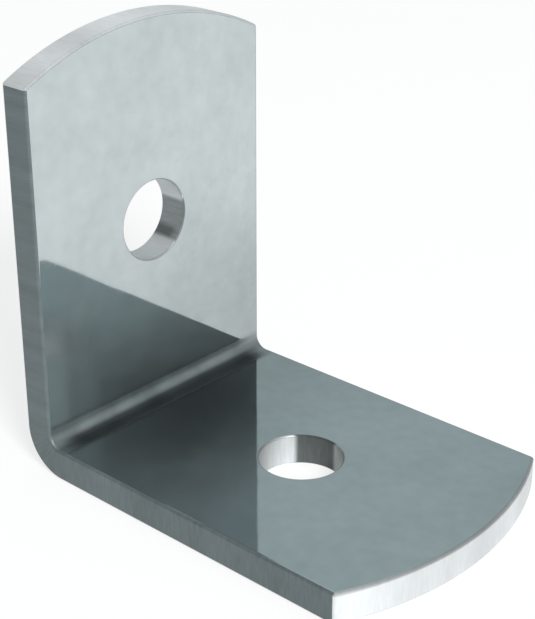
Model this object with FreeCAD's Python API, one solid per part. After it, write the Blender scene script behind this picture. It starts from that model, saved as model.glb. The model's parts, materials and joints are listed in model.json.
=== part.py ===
import FreeCAD, Part
import math
import os

# Angle bracket: one strip of polished stainless sheet, crowned at both ends, folded square
# and punched with one screw hole in each leg.
# Millimetres. X runs along the base leg away from the upright, Y across the width and Z up
# the upright. The heel is the line where the outer faces of the two legs would meet.

# Driving dimensions
base_length = 20.0              # heel to the crown of the base leg
upright_length = 20.0           # heel to the crown of the upright
width = 14.0                    # across both legs
sheet = 1.5                     # thickness of the sheet
inside_bend_radius = 0.6        # inner side of the fold
crown_radius = 15.0             # arc that ends each leg
hole_diameter = 3.8             # clearance hole for a 3.5 mm screw
base_hole_from_heel = 10.5      # hole centre, measured along the base leg
upright_hole_from_heel = 10.5   # hole centre, measured up the upright
edge_round = 0.15               # tumbled edges all round the outline
rim_round = 0.1                 # tumbled rims of the screw holes

# Values that follow from them
half_width = width / 2
outside_bend_radius = sheet + inside_bend_radius
crown_rise = crown_radius - math.sqrt(crown_radius**2 - half_width**2)

# Ends of the bend line of the base leg, and the axis that the sheet is folded about
bend_front = FreeCAD.Vector(outside_bend_radius, -half_width, 0)
bend_back = FreeCAD.Vector(outside_bend_radius, half_width, 0)
bend_axis = FreeCAD.Vector(outside_bend_radius, 0, outside_bend_radius)
quarter_turn = 90

# Directions: across the strip, through the base leg, and square to the plane halving the fold
across = FreeCAD.Vector(0, 1, 0)
through = FreeCAD.Vector(0, 0, sheet)
fold_mirror = FreeCAD.Vector(1, 0, -1)
heel = FreeCAD.Vector(0, 0, 0)
parallel_limit = 1e-6


def leg(length):
    """Flat base leg from the bend line to its crowned end."""
    shoulder_front = FreeCAD.Vector(length - crown_rise, -half_width, 0)
    shoulder_back = FreeCAD.Vector(length - crown_rise, half_width, 0)
    crown = FreeCAD.Vector(length, 0, 0)
    outline = Part.Wire([
        Part.LineSegment(bend_front, shoulder_front).toShape(),
        Part.Arc(shoulder_front, crown, shoulder_back).toShape(),
        Part.LineSegment(shoulder_back, bend_back).toShape(),
        Part.LineSegment(bend_back, bend_front).toShape(),
    ])
    return Part.Face(outline).extrude(through)


def fold():
    """Quarter turn of the sheet between the bend lines of the two legs."""
    section = Part.makeLine(bend_front, bend_back).extrude(through)
    return section.revolve(bend_axis, across, quarter_turn)


def hole(from_heel):
    """Punch that passes through the base leg at a distance from the heel."""
    return Part.makeCylinder(hole_diameter / 2, sheet, FreeCAD.Vector(from_heel, 0, 0))


def to_upright(shape):
    """The same shape carried over from the base leg to the upright."""
    return shape.mirror(heel, fold_mirror)


def is_bend_line(edge):
    """True for the straight lines across the strip where a flat leg meets the fold."""
    if not isinstance(edge.Curve, Part.Line):
        return False
    return edge.Curve.Direction.cross(across).Length < parallel_limit


def is_hole_rim(edge):
    """True for the closed circles at both ends of a screw hole."""
    if edge.Degenerated:
        return False
    return isinstance(edge.Curve, Part.Circle) and edge.isClosed()


# The folded strip, with its outline rounded before it is punched
strip = leg(base_length).fuse([fold(), to_upright(leg(upright_length))]).removeSplitter()
outline_edges = [edge for edge in strip.Edges if not is_bend_line(edge)]
strip = strip.makeFillet(edge_round, outline_edges)

# The screw holes and their rims
bracket = strip.cut([hole(base_hole_from_heel), to_upright(hole(upright_hole_from_heel))])
hole_rims = [edge for edge in bracket.Edges if is_hole_rim(edge)]
bracket = bracket.makeFillet(rim_round, hole_rims)

# The origin lies under the middle of the base leg
bracket.translate(FreeCAD.Vector(-base_length / 2, 0, 0))

os.makedirs("parts", exist_ok=True)
bracket.exportStep("parts/angle_bracket.step")
print("solids", len(bracket.Solids), "valid", bracket.isValid(), "volume mm3", round(bracket.Volume, 3))
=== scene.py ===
import json
import math
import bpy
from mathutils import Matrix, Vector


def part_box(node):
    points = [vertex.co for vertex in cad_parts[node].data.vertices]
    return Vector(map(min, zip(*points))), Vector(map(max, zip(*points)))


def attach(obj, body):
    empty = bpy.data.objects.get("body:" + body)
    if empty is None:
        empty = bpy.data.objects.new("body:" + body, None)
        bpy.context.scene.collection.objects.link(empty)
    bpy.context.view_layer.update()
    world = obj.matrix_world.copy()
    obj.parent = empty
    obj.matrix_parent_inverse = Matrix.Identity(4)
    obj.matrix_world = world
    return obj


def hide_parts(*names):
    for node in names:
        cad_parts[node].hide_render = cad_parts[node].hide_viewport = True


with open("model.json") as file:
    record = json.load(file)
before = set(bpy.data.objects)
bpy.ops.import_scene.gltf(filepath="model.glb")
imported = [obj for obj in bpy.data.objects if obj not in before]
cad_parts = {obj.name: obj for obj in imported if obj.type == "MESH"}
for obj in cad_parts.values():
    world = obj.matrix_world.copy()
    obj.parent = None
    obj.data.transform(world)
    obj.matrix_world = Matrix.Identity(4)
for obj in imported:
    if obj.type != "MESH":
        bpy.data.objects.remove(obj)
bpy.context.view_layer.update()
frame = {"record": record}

from types import SimpleNamespace

import bmesh
import bpy
from mathutils import Vector, geometry

MM = 0.001

# Sizes of the bracket: its box and holes come from the frame, the rest follows its drawing
NODE = "angle_bracket"
box_low, box_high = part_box(NODE)
mounts = {mount["name"]: mount for mount in frame["record"]["mounts"]}
HEEL_X = box_low.x
BASE_LENGTH = box_high.x - box_low.x
UPRIGHT_LENGTH = box_high.z - box_low.z
HALF_WIDTH = (box_high.y - box_low.y) / 2
SHEET = 1.5 * MM
INSIDE_BEND = 0.6 * MM
OUTSIDE_BEND = SHEET + INSIDE_BEND
CROWN_RADIUS = 15.0 * MM
EDGE_ROUND = 0.15 * MM
RIM_ROUND = 0.1 * MM
HOLE_RADIUS = mounts["base_screw_hole"]["dims"]["r_mm"] * MM
BASE_HOLE = mounts["base_screw_hole"]["pos_m"][0] - HEEL_X
UPRIGHT_HOLE = mounts["upright_screw_hole"]["pos_m"][2]

# Facets along each kind of curve
FOLD_STEPS = 32
CROWN_STEPS = 64
CORNER_STEPS = 6
ROUND_STEPS = 6
WALL_STEPS = 4
HOLE_STEPS = 96

# Facets of each edge rounding that keep the polish of the face beside it
POLISHED_STEPS = 1

# Distances below which points of a flat leg, or vertices of the whole mesh, count as one
FILL_TOLERANCE = EDGE_ROUND / 10
WELD_DISTANCE = 1e-8

# The kind of filling that keeps only the triangles inside the outer limit
INSIDE_LIMIT = 1

# Places along the flat strip: the base leg is positive, the fold runs back from 0 to the upright
FOLD_ARC = (OUTSIDE_BEND - SHEET / 2) * math.pi / 2
BASE_END = BASE_LENGTH - OUTSIDE_BEND
UPRIGHT_END = -FOLD_ARC - (UPRIGHT_LENGTH - OUTSIDE_BEND)
BASE_HOLE_PLACE = BASE_HOLE - OUTSIDE_BEND
UPRIGHT_HOLE_PLACE = -FOLD_ARC - (UPRIGHT_HOLE - OUTSIDE_BEND)

# Material slots of the mesh
SHEET_FACE, SIDE_EDGE, BASE_CROWN, UPRIGHT_CROWN, HOLE_WALL = range(5)


def folded(along, across, depth):
    """Place in the frame of a point of the flat strip; depth runs from the outer to the inner face."""
    if along >= 0:
        return Vector((HEEL_X + OUTSIDE_BEND + along, across, depth))
    if along <= -FOLD_ARC:
        return Vector((HEEL_X + depth, across, OUTSIDE_BEND - along - FOLD_ARC))
    turn = -along / FOLD_ARC * math.pi / 2
    radius = OUTSIDE_BEND - depth
    x = OUTSIDE_BEND - radius * math.sin(turn)
    z = OUTSIDE_BEND - radius * math.cos(turn)
    return Vector((HEEL_X + x, across, z))


def turned(along, direction):
    """Direction in the frame of a direction (along, across, depth) on the flat strip."""
    turn = min(max(-along / FOLD_ARC, 0.0), 1.0) * math.pi / 2
    along_way = Vector((math.cos(turn), 0, -math.sin(turn)))
    depth_way = Vector((math.sin(turn), 0, math.cos(turn)))
    return direction[0] * along_way + Vector((0, direction[1], 0)) + direction[2] * depth_way


def crowned_end(end, sign, crown):
    """Stations round the crowned end on one side of the strip. A station is the centre of the edge
    rounding, its outward direction and the finish of the wall up to the next station."""
    centre = end - sign * CROWN_RADIUS
    core_radius = CROWN_RADIUS - EDGE_ROUND
    spread = math.asin((HALF_WIDTH - EDGE_ROUND) / core_radius)
    corner_turn = math.pi / 2 - spread

    def station(place, way, finish=crown):
        core = (centre + sign * core_radius * math.cos(place), sign * core_radius * math.sin(place))
        return core, (sign * math.cos(way), sign * math.sin(way)), finish

    corner = [corner_turn * step / CORNER_STEPS for step in range(1, CORNER_STEPS)]
    arc = [spread * (2 * step / CROWN_STEPS - 1) for step in range(CROWN_STEPS + 1)]
    stations = [station(-spread, -math.pi / 2)]
    stations += [station(-spread, -spread - corner_turn + turn) for turn in corner]
    stations += [station(place, place) for place in arc]
    stations += [station(spread, spread + turn) for turn in corner]
    stations += [station(spread, math.pi / 2, SIDE_EDGE)]
    return stations


def outline_loop():
    """Stations round the whole strip: front side, base crown, back side, upright crown."""
    core_half = HALF_WIDTH - EDGE_ROUND
    fold_places = [-FOLD_ARC * step / FOLD_STEPS for step in range(FOLD_STEPS + 1)]
    front = [((place, -core_half), (0, -1), SIDE_EDGE) for place in reversed(fold_places)]
    back = [((place, core_half), (0, 1), SIDE_EDGE) for place in fold_places]
    base_crown = crowned_end(BASE_END, 1, BASE_CROWN)
    upright_crown = crowned_end(UPRIGHT_END, -1, UPRIGHT_CROWN)
    return front + base_crown + back + upright_crown


def hole_loop(along):
    """Stations round a screw hole, with the outward direction towards its axis."""
    radius = HOLE_RADIUS + RIM_ROUND
    stations = []
    for step in range(HOLE_STEPS):
        angle = -2 * math.pi * step / HOLE_STEPS
        way = (math.cos(angle), math.sin(angle))
        core = (along + radius * way[0], radius * way[1])
        stations.append((core, (-way[0], -way[1]), HOLE_WALL))
    return stations


def wall_profile(rounding):
    """Points down a wall from the inner to the outer face: outward offset, depth and normal."""
    quarter = [math.pi / 2 * step / ROUND_STEPS for step in range(ROUND_STEPS + 1)]
    points = []
    for angle in quarter:
        out, rise = math.sin(angle), math.cos(angle)
        points.append((rounding * out, SHEET - rounding * (1 - rise), out, rise))
    for step in range(1, WALL_STEPS):
        depth = SHEET - rounding - (SHEET - 2 * rounding) * step / WALL_STEPS
        points.append((rounding, depth, 1.0, 0.0))
    for angle in quarter:
        out, rise = math.cos(angle), -math.sin(angle)
        points.append((rounding * out, rounding * (1 + rise), out, rise))
    return points


class StripMesh:
    """Collects the bracket's faces, with a smooth normal and a place on the wall for each vertex."""

    def __init__(self):
        self.mesh = bmesh.new()
        self.normal = self.mesh.verts.layers.float_vector.new("smooth_normal")
        self.run = self.mesh.verts.layers.float.new("edge_run")
        self.depth = self.mesh.verts.layers.float.new("edge_depth")

    def vertex(self, along, across, depth, direction, run):
        vertex = self.mesh.verts.new(folded(along, across, depth))
        vertex[self.normal] = turned(along, direction)
        vertex[self.run] = run / MM
        vertex[self.depth] = depth / MM
        return vertex

    def face(self, vertices, slot):
        face = self.mesh.faces.new(vertices)
        face.material_index = slot
        face.smooth = True

    def wall(self, loop, rounding):
        """Skins the rounded wall of a loop and returns its rings on the inner and outer faces."""
        rings = []
        for offset, depth, out, rise in wall_profile(rounding):
            ring = []
            run = 0.0
            previous = loop[0][0]
            for core, outward, _ in loop:
                run += math.dist(core, previous)
                previous = core
                along = core[0] + offset * outward[0]
                across = core[1] + offset * outward[1]
                direction = (out * outward[0], out * outward[1], rise)
                ring.append(self.vertex(along, across, depth, direction, run))
            rings.append(ring)
        for level, (upper, lower) in enumerate(zip(rings, rings[1:])):
            on_wall = POLISHED_STEPS <= level < len(rings) - 1 - POLISHED_STEPS
            for index, station in enumerate(loop):
                after = (index + 1) % len(loop)
                slot = station[2] if on_wall else SHEET_FACE
                self.face((upper[index], lower[index], lower[after], upper[after]), slot)
        return rings[0], rings[-1]

    def flat(self, outline, hole, inner):
        """Fills a flat leg between its outline and its hole, both lists of (vertex, place)."""
        corners = outline + hole
        places = [Vector(place) for _, place in corners]
        count = len(outline)
        limits = [(index, (index + 1) % count) for index in range(count)]
        limits += [(count + index, count + (index + 1) % len(hole)) for index in range(len(hole))]
        filled = geometry.delaunay_2d_cdt(places, limits, [], INSIDE_LIMIT, FILL_TOLERANCE)
        triangles, origins = filled[2:4]
        for triangle in triangles:
            originals = [origins[index][0] for index in triangle]
            inside_hole = min(originals) >= count
            if inside_hole:
                continue
            vertices = [corners[original][0] for original in originals]
            self.face(vertices if inner else vertices[::-1], SHEET_FACE)


def leg_outline(loop, ring, indices):
    """Vertices and places round a flat leg, with one for all the stations that share a place."""
    outline = []
    for index in indices:
        place = loop[index][0]
        if not outline or place != outline[-1][1]:
            outline.append((ring[index], place))
    return outline


def bracket_mesh():
    """The folded strip as one closed mesh with exact normals."""
    strip = StripMesh()
    loop = outline_loop()
    base_hole = hole_loop(BASE_HOLE_PLACE)
    upright_hole = hole_loop(UPRIGHT_HOLE_PLACE)
    outline_rings = strip.wall(loop, EDGE_ROUND)
    base_hole_rings = strip.wall(base_hole, RIM_ROUND)
    upright_hole_rings = strip.wall(upright_hole, RIM_ROUND)
    back_start = FOLD_STEPS + 1 + len(crowned_end(BASE_END, 1, BASE_CROWN))
    back_end = back_start + FOLD_STEPS
    base_indices = list(range(FOLD_STEPS, back_start + 1))
    upright_indices = list(range(back_end, len(loop))) + [0]
    legs = (
        (base_indices, base_hole, base_hole_rings),
        (upright_indices, upright_hole, upright_hole_rings),
    )
    for side, ring in enumerate(outline_rings):
        inner = side == 0
        for step in range(FOLD_STEPS):
            quad = [ring[step], ring[step + 1], ring[back_end - step - 1], ring[back_end - step]]
            strip.face(quad if inner else quad[::-1], SHEET_FACE)
        for indices, hole, hole_rings in legs:
            rim = [(vertex, station[0]) for vertex, station in zip(hole_rings[side], hole)]
            strip.flat(leg_outline(loop, ring, indices), rim, inner)
    bmesh.ops.remove_doubles(strip.mesh, verts=strip.mesh.verts, dist=WELD_DISTANCE)
    normals = [tuple(vertex[strip.normal]) for vertex in strip.mesh.verts]
    mesh = bpy.data.meshes.new("bracket")
    strip.mesh.to_mesh(mesh)
    strip.mesh.free()
    mesh.attributes.remove(mesh.attributes["smooth_normal"])
    mesh.normals_split_custom_set_from_vertices(normals)
    return mesh


# Span that most values of a noise lie in
NOISE_SPAN = (0.3, 0.7)


class Nodes:
    """Short names for building a node tree."""

    def __init__(self, tree):
        self.tree = tree

    def add(self, kind, inputs=(), **settings):
        """A new node. An input goes by name or number, and is a value or a socket to link."""
        node = self.tree.nodes.new(kind)
        for name, value in settings.items():
            setattr(node, name, value)
        for name, value in dict(inputs).items():
            self.set(node.inputs[name], value)
        return node

    def set(self, socket, value):
        if isinstance(value, bpy.types.NodeSocket):
            self.tree.links.new(value, socket)
        else:
            socket.default_value = value

    def math(self, operation, *values):
        return self.add("ShaderNodeMath", enumerate(values), operation=operation).outputs[0]

    def product(self, first, *others):
        for other in others:
            first = self.math("MULTIPLY", first, other)
        return first

    def dot(self, vector, direction):
        node = self.add("ShaderNodeVectorMath", {0: vector, 1: direction}, operation="DOT_PRODUCT")
        return node.outputs["Value"]

    def fade(self, value, span, start=0.0, end=1.0, curve="SMOOTHSTEP"):
        """A number that goes from start to end while the value crosses the span."""
        low, high = span
        inputs = {"Value": value, "From Min": low, "From Max": high, "To Min": start, "To Max": end}
        return self.add("ShaderNodeMapRange", inputs, interpolation_type=curve).outputs["Result"]

    def level(self, amount, start, end):
        """A number that goes evenly from start to end as the amount goes from 0 to 1."""
        return self.fade(amount, (0.0, 1.0), start, end, "LINEAR")

    def noise(self, vector, scale, detail):
        inputs = {"Vector": vector, "Scale": scale, "Detail": detail}
        return self.add("ShaderNodeTexNoise", inputs).outputs["Fac"]

    def mix(self, factor, first, second, blend="MIX"):
        """A mix of two colours; a node that mixes colours takes them at inputs 6 and 7."""
        node = self.add("ShaderNodeMix", data_type="RGBA", blend_type=blend)
        self.set(node.inputs["Factor"], factor)
        self.set(node.inputs[6], first)
        self.set(node.inputs[7], second)
        return node.outputs[2]

    def scaled(self, colour, level):
        """A colour times a number."""
        grey = self.add("ShaderNodeCombineColor", {"Red": level, "Green": level, "Blue": level})
        return self.mix(1.0, colour, grey.outputs[0], "MULTIPLY")

    def ramp(self, value, stops):
        """A colour that follows a value through stops of (value, colour)."""
        node = self.add("ShaderNodeValToRGB", {"Fac": value})
        elements = node.color_ramp.elements
        while len(elements) < len(stops):
            elements.new(0.5)
        for element, (position, colour) in zip(elements, stops):
            element.position = position
            element.color = (*colour, 1)
        return node.outputs["Color"]

    def uneven(self, noise, dark, light):
        """A colour that follows a noise from dark to light."""
        return self.ramp(noise, list(zip(NOISE_SPAN, (dark, light))))


def new_material(name):
    """A material, its shader and its nodes."""
    material = bpy.data.materials.new(name)
    material.use_nodes = True
    return material, material.node_tree.nodes["Principled BSDF"], Nodes(material.node_tree)


def bracket_places(nodes):
    """Places on the bracket in millimetres: the point, across the strip, up, and from the heel."""
    place = nodes.add("ShaderNodeTexCoord").outputs["Object"]
    point = nodes.add("ShaderNodeMapping", {"Vector": place, "Scale": (1 / MM,) * 3}).outputs[0]
    parts = nodes.add("ShaderNodeSeparateXYZ", {0: point}).outputs
    from_heel = nodes.math("SUBTRACT", parts["X"], HEEL_X / MM)
    along = nodes.math("MAXIMUM", from_heel, parts["Z"])
    return SimpleNamespace(
        point=point, across=parts["Y"], up=parts["Z"], from_heel=from_heel, along=along
    )


# Tones of the polished sheet: painted shade darkens it towards the fold, and it is clouded and mottled all
# over
STEEL_DARK, STEEL_LIGHT = (0.51, 0.57, 0.58), (0.57, 0.63, 0.64)
STEEL_METALLIC = 0.97
SHEET_SHADE_ALONG, SHEET_SHADE_LEVEL = (1.5, 14.0), 0.8
MOTTLE_LEVELS = (0.965, 1.035)
WAVE_HEIGHT = 0.004

# Where the sheet's inner side and its upright start, in millimetres of depth and height
INNER_SIDE = (0.8, 1.3)
UPRIGHT_START = (1.6, 2.6)

# Marks on the upright, as spans in millimetres of height and across from front to back: a painted
# reflection, a painted shade and a haze
FOOT_SHEEN_HEIGHT, FOOT_SHEEN_ACROSS, FOOT_SHEEN_LEVEL = (2.5, 8.5), (-6.2, -5.4), 1.45
LOW_SHADE_HEIGHT, LOW_SHADE_ACROSS, LOW_SHADE_LEVEL = (5.0, 11.0), (-3.0, 4.0), 0.89
HAZE_HEIGHT, HAZE_ACROSS, HAZE_ROUGHNESS = (7.0, 9.0), (-5.0, -3.0), 0.17

# Marks on the fold: its colour is darker than the sheet's as painted shade in the crease, and a deeper
# painted shade lies on its base side and fades towards both ends
FOLD_SHADE_COLOUR, FOLD_DEEP_SHADE_COLOUR = (0.32, 0.36, 0.365), (0.09, 0.1, 0.105)
FOLD_BASE_SIDE, DEEP_SHADE_ENDS, BASE_SIDE_REACH = (-0.1, 0.25), (5.4, 7.0), 0.25
FOLD_TONE_SPAN, FOLD_TONE_LEVELS = (0.35, 0.6), (0.74, 1.0)
FOLD_SHADE_BORDER = (0.05, 0.45)
SATIN_BORDER, SATIN_ROUGHNESS = (0.05, 0.3), 0.4
STRETCHED_ALONG, STRETCHED_ROUGHNESS = (1.2, 3.0), 0.12

# Fine grain of the polish, and hairlines that run along the legs, with their noise per millimetre
GRAIN_ROUGHNESS = (0.03, 0.055)
HAIR_ALONG, HAIR_ACROSS = 0.35, 16.0
HAIR_NOISE, HAIR_ROUGHNESS = (0.55, 0.75), 0.03


def sheet_colour(nodes, at):
    """Colour of the faces outside the fold."""
    cloud = nodes.noise(at.point, scale=0.3, detail=4.0)
    colour = nodes.uneven(cloud, STEEL_DARK, STEEL_LIGHT)
    # Painted shade: the sheet darkens towards the fold
    colour = nodes.scaled(colour, nodes.fade(at.along, SHEET_SHADE_ALONG, SHEET_SHADE_LEVEL, 1.0))
    mottle = nodes.noise(at.point, scale=1.5, detail=3.0)
    colour = nodes.scaled(colour, nodes.fade(mottle, NOISE_SPAN, *MOTTLE_LEVELS, "LINEAR"))

    # Painted reflection: the front border of the upright's foot is brighter
    low_down = nodes.fade(at.up, FOOT_SHEEN_HEIGHT, 1.0, 0.0)
    in_front = nodes.fade(at.across, FOOT_SHEEN_ACROSS, 1.0, 0.0)
    foot_sheen = nodes.product(low_down, in_front, at.on_upright)
    colour = nodes.scaled(colour, nodes.level(foot_sheen, 1.0, FOOT_SHEEN_LEVEL))

    # Painted shade: the upright is a little darker low down at the back
    low_down = nodes.fade(at.up, LOW_SHADE_HEIGHT, 1.0, 0.0)
    at_back = nodes.fade(at.across, LOW_SHADE_ACROSS)
    low_back_shade = nodes.product(low_down, at_back, at.on_upright)
    return nodes.scaled(colour, nodes.level(low_back_shade, 1.0, LOW_SHADE_LEVEL))


def fold_marks(nodes, at):
    """Masks of the satin and of the painted shade in the fold, and the colour of that painted shade."""
    towards_base = nodes.math("SUBTRACT", at.from_heel, at.up)
    base_part = nodes.fade(towards_base, FOLD_BASE_SIDE)
    past_bend = nodes.math("SUBTRACT", at.along, OUTSIDE_BEND / MM)
    from_fold = nodes.math("MULTIPLY_ADD", base_part, -BASE_SIDE_REACH, past_bend)
    satin = nodes.product(nodes.fade(from_fold, SATIN_BORDER, 1.0, 0.0), at.inner_side)
    painted_shade = nodes.product(nodes.fade(from_fold, FOLD_SHADE_BORDER, 1.0, 0.0), at.inner_side)
    to_end = nodes.math("ABSOLUTE", at.across)
    # Painted deeper shade on the fold's base side, fading towards both ends
    deep_shade = nodes.product(base_part, nodes.fade(to_end, DEEP_SHADE_ENDS, 1.0, 0.0))
    colour = nodes.ramp(deep_shade, [(0.0, FOLD_SHADE_COLOUR), (1.0, FOLD_DEEP_SHADE_COLOUR)])
    blotches = nodes.noise(at.point, scale=0.5, detail=2.0)
    blotchy = nodes.fade(blotches, FOLD_TONE_SPAN, *FOLD_TONE_LEVELS, "LINEAR")
    return satin, painted_shade, nodes.scaled(colour, blotchy)


def sheet_roughness(nodes, at, satin):
    """Roughness of the faces: the fold is satin, and the front of the upright's foot is hazy."""
    grain = nodes.noise(at.point, scale=5.0, detail=3.0)
    hair_place = nodes.add("ShaderNodeCombineXYZ", {
        "X": nodes.math("MULTIPLY", at.along, HAIR_ALONG),
        "Y": nodes.math("MULTIPLY", at.across, HAIR_ACROSS),
    }).outputs[0]
    hairs = nodes.noise(hair_place, scale=1.0, detail=4.0)
    hairlines = nodes.fade(hairs, HAIR_NOISE, 0.0, HAIR_ROUGHNESS)
    rough = nodes.math("ADD", nodes.fade(grain, NOISE_SPAN, *GRAIN_ROUGHNESS), hairlines)
    rough = nodes.math("MULTIPLY_ADD", satin, SATIN_ROUGHNESS, rough)

    # The outside of the bend was stretched, and is duller too
    outer_side = nodes.math("SUBTRACT", 1.0, at.inner_side)
    stretched = nodes.fade(at.along, STRETCHED_ALONG, STRETCHED_ROUGHNESS, 0.0)
    rough = nodes.math("MULTIPLY_ADD", outer_side, stretched, rough)

    low_down = nodes.fade(at.up, HAZE_HEIGHT, 1.0, 0.0)
    in_front = nodes.fade(at.across, HAZE_ACROSS, 1.0, 0.0)
    hazy = nodes.product(low_down, in_front, at.on_upright)
    return nodes.math("MULTIPLY_ADD", hazy, HAZE_ROUGHNESS, rough)


def polished_steel():
    """Near-mirror sheet with faint waves in it, and a dull fold with painted shade in it."""
    material, shader, nodes = new_material("polished_steel")
    at = bracket_places(nodes)
    at.inner_side = nodes.fade(nodes.math("MINIMUM", at.from_heel, at.up), INNER_SIDE)
    at.on_upright = nodes.product(nodes.fade(at.up, UPRIGHT_START), at.inner_side)
    waves = nodes.math("MULTIPLY", nodes.noise(at.point, scale=0.45, detail=1.0), WAVE_HEIGHT)
    bump = nodes.add("ShaderNodeBump", {"Height": waves, "Distance": MM})
    satin, painted_shade, fold_shade_colour = fold_marks(nodes, at)
    colour = nodes.mix(painted_shade, sheet_colour(nodes, at), fold_shade_colour)
    nodes.set(shader.inputs["Base Color"], colour)
    nodes.set(shader.inputs["Roughness"], sheet_roughness(nodes, at, satin))
    nodes.set(shader.inputs["Normal"], bump.outputs[0])
    shader.inputs["Metallic"].default_value = STEEL_METALLIC
    return material


# Tones of the cut edges; shades are painted shade given as (place, level) from the front, 0, to the back,
# 1, and rim shades are painted shade at the inner rim
# The slit edges are dark partly in their own duller tone and partly as painted shade
SLIT_DARK, SLIT_LIGHT, SLIT_METALLIC = (0.112, 0.144, 0.149), (0.151, 0.184, 0.19), 0.4
CROWN_DARK, CROWN_LIGHT, CROWN_METALLIC = (0.64, 0.66, 0.67), (0.72, 0.74, 0.75), 0.2
EVEN_SHADES = ((0.0, 1.0), (1.0, 1.0))
BASE_SHADES = ((0.0, 0.96), (0.22, 0.94), (0.38, 0.79), (1.0, 0.77))
UPRIGHT_SHADES = ((0.0, 0.84), (0.6, 1.03), (1.0, 0.9))
BASE_RIM_SHADE = 0.4
UPRIGHT_RIM_SHADE = 0.64
PATCH_LEVELS = (0.86, 1.1)
EDGE_ROUGHNESS = 0.5
STREAKS_PER_MM = 9.0

# Depths in millimetres over which an edge or a hole turns into its inner rim
EDGE_RIM = ((SHEET - EDGE_ROUND) / MM - 0.03, SHEET / MM - 0.05)
HOLE_RIM = ((SHEET - RIM_ROUND) / MM - 0.03, SHEET / MM - 0.03)


def edge_places(nodes):
    """Run along a wall and depth on it, in millimetres, and a noise of streaks through it."""
    run = nodes.add("ShaderNodeAttribute", attribute_name="edge_run").outputs["Fac"]
    depth = nodes.add("ShaderNodeAttribute", attribute_name="edge_depth").outputs["Fac"]
    streak_run = nodes.math("MULTIPLY", run, STREAKS_PER_MM)
    streak_place = nodes.add("ShaderNodeCombineXYZ", {"X": streak_run, "Y": depth}).outputs[0]
    return run, depth, nodes.noise(streak_place, scale=1.0, detail=3.0)


def cut_steel(name, dark, light, metallic, shades=EVEN_SHADES, rim_shade=1.0):
    """Sheared edge with fine streaks, with painted shade from front to back and at its inner rim."""
    material, shader, nodes = new_material(name)
    run, depth, streaks = edge_places(nodes)
    colour = nodes.uneven(streaks, dark, light)
    # Painted shade from front to back, then at the inner rim
    across = bracket_places(nodes).across
    to_back = nodes.fade(across, (-HALF_WIDTH / MM, HALF_WIDTH / MM), curve="LINEAR")
    shade = nodes.ramp(to_back, [(place, (level,) * 3) for place, level in shades])
    colour = nodes.mix(1.0, colour, shade, "MULTIPLY")
    colour = nodes.scaled(colour, nodes.fade(depth, EDGE_RIM, 1.0, rim_shade))
    run_place = nodes.add("ShaderNodeCombineXYZ", {"X": run}).outputs[0]
    patches = nodes.noise(run_place, scale=0.3, detail=1.0)
    patchy = nodes.fade(patches, NOISE_SPAN, *PATCH_LEVELS, "LINEAR")
    nodes.set(shader.inputs["Base Color"], nodes.scaled(colour, patchy))
    shader.inputs["Metallic"].default_value = metallic
    shader.inputs["Roughness"].default_value = EDGE_ROUGHNESS
    return material


# Tones of the hole walls. A way is in degrees, turned from the back of the hole towards the heel,
# and a span along it is in hole radii from the hole's axis.
BURNISHED_DARK, BURNISHED_LIGHT, BURNISHED_ROUGHNESS = (0.5, 0.525, 0.53), (0.57, 0.595, 0.6), 0.4
# The back of each hole wall is darker, as painted shade, and rougher; the upright's has a patch of deeper
# painted shade
BACK_SHADE_DARK, BACK_SHADE_LIGHT, BACK_ROUGHNESS = (0.2, 0.22, 0.22), (0.27, 0.295, 0.295), 0.6
BACK_SHADE_WAY, BACK_SHADE_SPAN, BASE_BACK_SHADE_LEVEL = 18, (0.825, 0.905), 0.42
FRONT_SIDE_WAY, FRONT_SIDE_SPAN, FRONT_SIDE_LEVELS = 150, (0.0, 0.87), (1.2, 0.46)
FAR_WAY = -90
BASE_FAR_SPAN, BASE_FAR_LEVEL = (0.0, 0.3), 0.6
UPRIGHT_FAR_SPAN, UPRIGHT_FAR_LEVELS = (-0.7, 0.4), (0.86, 1.05)
HOLE_PATCH_WAY, HOLE_PATCH_SPAN, HOLE_PATCH_LEVEL = 41, (0.97, 0.998), 0.45
HOLE_PATCH_DEPTH, HOLE_PATCH_AT_RIM = (0.9, 1.4), 0.2
HOLE_RIM_SHADE = 0.6
HOLE_METALLIC = 0.3

# Heights in millimetres between the base's hole and the upright's
BETWEEN_HOLES = (2.0, 4.0)


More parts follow.
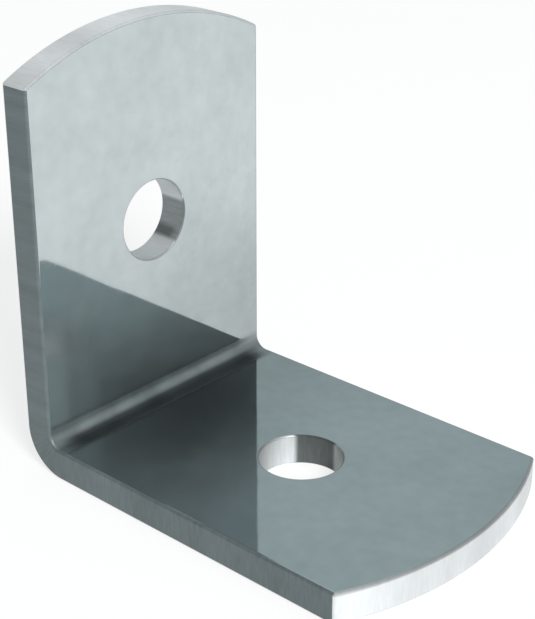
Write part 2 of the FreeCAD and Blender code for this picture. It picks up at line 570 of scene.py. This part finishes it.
def punched_steel():
    """Wall of a punched hole: burnished, with painted sheen, painted shade at the back and a rim darkened
    as painted shade.
    """
    material, shader, nodes = new_material("hole_wall")
    _, depth, streaks = edge_places(nodes)
    at = bracket_places(nodes)
    upper_hole = nodes.fade(at.up, BETWEEN_HOLES)
    centre = nodes.level(upper_hole, BASE_HOLE / MM, UPRIGHT_HOLE / MM)
    from_centre = nodes.math("SUBTRACT", at.along, centre)

    def towards(degrees):
        """How far, in hole radii, a place on the wall lies along a way."""
        turn = math.radians(degrees)
        radius = HOLE_RADIUS / MM
        back_part = nodes.math("MULTIPLY", at.across, math.cos(turn) / radius)
        return nodes.math("MULTIPLY_ADD", from_centre, -math.sin(turn) / radius, back_part)

    # Painted sheen and shade on the burnished wall: the base hole's fades to the front and at the far end,
    # the upright's to the heel
    front_side = nodes.fade(towards(FRONT_SIDE_WAY), FRONT_SIDE_SPAN, *FRONT_SIDE_LEVELS, "LINEAR")
    far_end = nodes.fade(towards(FAR_WAY), BASE_FAR_SPAN, 1.0, BASE_FAR_LEVEL)
    base_sheen = nodes.product(front_side, far_end)
    upright_sheen = nodes.fade(towards(FAR_WAY), UPRIGHT_FAR_SPAN, *UPRIGHT_FAR_LEVELS)
    burnish_and_sheen = nodes.uneven(streaks, BURNISHED_DARK, BURNISHED_LIGHT)
    burnish_and_sheen = nodes.scaled(burnish_and_sheen, nodes.level(upper_hole, base_sheen, upright_sheen))

    # Painted shade at the back of the wall: darker in the base, and deeper in a patch towards the heel in
    # the upright
    patch_depth = nodes.fade(depth, HOLE_PATCH_DEPTH, 1.0, HOLE_PATCH_AT_RIM)
    dark_patch = nodes.product(nodes.fade(towards(HOLE_PATCH_WAY), HOLE_PATCH_SPAN), patch_depth)
    painted_shade = nodes.level(dark_patch, 1.0, HOLE_PATCH_LEVEL)
    dark = nodes.uneven(streaks, BACK_SHADE_DARK, BACK_SHADE_LIGHT)
    dark = nodes.scaled(dark, nodes.level(upper_hole, BASE_BACK_SHADE_LEVEL, painted_shade))

    # Painted shade at the back of the wall
    shaded_back = nodes.fade(towards(BACK_SHADE_WAY), BACK_SHADE_SPAN)
    # Painted shade at the hole's rim
    rim_darkening = nodes.fade(depth, HOLE_RIM, 1.0, HOLE_RIM_SHADE)
    colour = nodes.scaled(nodes.mix(shaded_back, burnish_and_sheen, dark), rim_darkening)
    rough = nodes.fade(shaded_back, (0.0, 1.0), BURNISHED_ROUGHNESS, BACK_ROUGHNESS)
    nodes.set(shader.inputs["Base Color"], colour)
    nodes.set(shader.inputs["Roughness"], rough)
    shader.inputs["Metallic"].default_value = HOLE_METALLIC
    return material


def way_towards(azimuth, elevation):
    """Unit direction, with the azimuth turned from +X to +Y."""
    level = math.cos(elevation)
    return Vector((level * math.cos(azimuth), level * math.sin(azimuth), math.sin(elevation)))


def add_object(name, data):
    """A new object in the scene."""
    added = bpy.data.objects.new(name, data)
    bpy.context.scene.collection.objects.link(added)
    return added


def aim(lamp_or_camera, location, way):
    """Places a lamp or a camera, and turns it to look along a direction."""
    lamp_or_camera.location = location
    lamp_or_camera.rotation_euler = way.to_track_quat("-Z", "Y").to_euler()


# Colours of the studio by height, from 0 level to 1 overhead, on its left and on its right
LEFT_SKY = (
    (0.0, (0.43, 0.495, 0.505)),
    (0.65, (0.42, 0.485, 0.495)),
    (0.85, (0.85, 0.87, 0.88)),
)
RIGHT_SKY = (
    (0.0, (0.41, 0.45, 0.455)),
    (0.3, (0.45, 0.5, 0.505)),
    (0.41, (0.5, 0.55, 0.56)),
    (0.44, (0.47, 0.52, 0.53)),
    (0.5, (0.36, 0.4, 0.41)),
    (0.56, (0.26, 0.29, 0.3)),
    (0.64, (0.22, 0.25, 0.26)),
    (0.7, (0.11, 0.12, 0.125)),
    (0.78, (0.11, 0.12, 0.125)),
    (0.88, (0.85, 0.87, 0.88)),
)
RIGHT_SPAN = (0.12, 0.5)

# The dark front of the studio, and an oval gap on its right
FRONT_WAY = (-0.35, -0.94, 0.0)
FRONT_SPAN = (0.0, 0.6)
FRONT_LEVEL = 0.2
GAP_AZIMUTH = math.radians(44.7)
GAP_ELEVATION = math.radians(28.6)
GAP_TURN = math.radians(-16)
GAP_LENGTH = 0.1
GAP_HEIGHT = 0.05
GAP_LEVEL = 0.05
WHITE = (1.0, 1.0, 1.0, 1.0)


def studio_gap(nodes, way, rightness):
    """Mask of the soft oval gap."""
    side = way_towards(GAP_AZIMUTH + math.pi / 2, 0.0)
    up = way_towards(GAP_AZIMUTH, GAP_ELEVATION + math.pi / 2)
    long_way = math.cos(GAP_TURN) * side + math.sin(GAP_TURN) * up
    short_way = math.cos(GAP_TURN) * up - math.sin(GAP_TURN) * side
    sideways = nodes.math("DIVIDE", nodes.dot(way, long_way), GAP_LENGTH)
    upwards = nodes.math("DIVIDE", nodes.dot(way, short_way), GAP_HEIGHT)
    squares = nodes.math("MULTIPLY_ADD", upwards, upwards, nodes.product(sideways, sideways))
    oval = nodes.math("EXPONENT", nodes.math("MULTIPLY", squares, -1.0))
    return nodes.product(oval, nodes.math("GREATER_THAN", rightness, 0.0))


def soft_world():
    """Grey studio: dark in front, dimmer high up at the back right, with a dark gap there."""
    world = bpy.data.worlds.new("studio")
    bpy.context.scene.world = world
    world.use_nodes = True
    nodes = Nodes(world.node_tree)
    way = nodes.add("ShaderNodeTexCoord").outputs["Generated"]
    height = nodes.add("ShaderNodeSeparateXYZ", {0: way}).outputs["Z"]
    rightness = nodes.dot(way, way_towards(GAP_AZIMUTH, 0.0))
    on_right = nodes.fade(rightness, RIGHT_SPAN)
    sky = nodes.mix(on_right, nodes.ramp(height, LEFT_SKY), nodes.ramp(height, RIGHT_SKY))
    front = nodes.fade(nodes.dot(way, FRONT_WAY), FRONT_SPAN, 1.0, FRONT_LEVEL)
    gap = nodes.level(studio_gap(nodes, way, rightness), 1.0, GAP_LEVEL)

    # Seen straight from the camera, it is white
    seen = nodes.add("ShaderNodeLightPath").outputs["Is Camera Ray"]
    strength = nodes.math("MAXIMUM", nodes.product(front, gap), seen)
    background = world.node_tree.nodes["Background"]
    nodes.set(background.inputs["Color"], nodes.mix(seen, sky, WHITE))
    nodes.set(background.inputs["Strength"], strength)


# Floor, with half the length of its side and the share of its own glow
FLOOR_HALF = 1.5
FLOOR_COLOUR = (0.97, 0.97, 0.97, 1)
FLOOR_GLOW = 0.75


def pale_matt():
    """Pale matt floor, which also glows where it is seen straight on or in a mirror."""
    material, shader, nodes = new_material("floor")
    shader.inputs["Base Color"].default_value = FLOOR_COLOUR
    shader.inputs["Roughness"].default_value = 1.0
    shader.inputs["Specular IOR Level"].default_value = 0.0
    light_path = nodes.add("ShaderNodeLightPath").outputs
    seen = nodes.math("MAXIMUM", light_path["Is Camera Ray"], light_path["Is Glossy Ray"])
    seen = nodes.math("MAXIMUM", seen, light_path["Is Transmission Ray"])
    glow = nodes.add("ShaderNodeEmission", {"Strength": 1.0})
    mixed = nodes.add("ShaderNodeMixShader", {
        0: nodes.math("MULTIPLY", seen, FLOOR_GLOW),
        1: shader.outputs[0],
        2: glow.outputs[0],
    })
    nodes.set(material.node_tree.nodes["Material Output"].inputs[0], mixed.outputs[0])
    return material


def add_floor():
    """A square of floor under the bracket."""
    sides = [(-1, -1), (1, -1), (1, 1), (-1, 1)]
    corners = [(FLOOR_HALF * x, FLOOR_HALF * y, 0) for x, y in sides]
    floor_mesh = bpy.data.meshes.new("floor")
    floor_mesh.from_pydata(corners, [], [(0, 1, 2, 3)])
    floor_mesh.materials.append(pale_matt())
    return add_object("floor", floor_mesh)


# Lamp
KEY_AZIMUTH = math.radians(-25)
KEY_ELEVATION = math.radians(36)
KEY_DISTANCE = 1.0
KEY_SIZE = 0.3
KEY_ENERGY = 10.3


def add_key():
    """The lamp, a disk at the front right that faces the bracket."""
    key = bpy.data.lights.new("key", "AREA")
    key.shape = "DISK"
    key.size = KEY_SIZE
    key.energy = KEY_ENERGY
    way = way_towards(KEY_AZIMUTH, KEY_ELEVATION)
    aim(add_object("key", key), KEY_DISTANCE * way, -way)


# Camera, with its focal length in pixels of an image of the stated height
CAMERA_AZIMUTH = math.radians(-47.943)
CAMERA_ELEVATION = math.radians(25.136)
CAMERA_DISTANCE = 65.775 * MM
CAMERA_TARGET = Vector((HEEL_X + 8.473 * MM, 0, 8.138 * MM))
CAMERA_NEAREST = 1 * MM
SENSOR_WIDTH = 36
FOCAL_PIXELS = 1501.88
IMAGE_HEIGHT = 619


def add_camera():
    """The camera of the photo."""
    camera = bpy.data.cameras.new("camera")
    camera.sensor_width = SENSOR_WIDTH
    camera.lens = SENSOR_WIDTH * FOCAL_PIXELS / IMAGE_HEIGHT
    camera.clip_start = CAMERA_NEAREST
    way = way_towards(CAMERA_AZIMUTH, CAMERA_ELEVATION)
    camera_object = add_object("camera", camera)
    aim(camera_object, CAMERA_TARGET + CAMERA_DISTANCE * way, -way)
    bpy.context.scene.camera = camera_object


# Bracket, with its finishes in the order of the material slots
finishes = (
    polished_steel(),
    cut_steel("slit_edge", SLIT_DARK, SLIT_LIGHT, SLIT_METALLIC),
    cut_steel("base_crown", CROWN_DARK, CROWN_LIGHT, CROWN_METALLIC, BASE_SHADES, BASE_RIM_SHADE),
    cut_steel("upright_crown", CROWN_DARK, CROWN_LIGHT, CROWN_METALLIC, UPRIGHT_SHADES, UPRIGHT_RIM_SHADE),
    punched_steel(),
)
mesh = bracket_mesh()
for finish in finishes:
    mesh.materials.append(finish)
bracket = add_object("bracket", mesh)
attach(bracket, "root")
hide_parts(NODE)

# Surroundings
floor = add_floor()
soft_world()
add_key()
add_camera()
bpy.context.scene.view_settings.view_transform = "Standard"
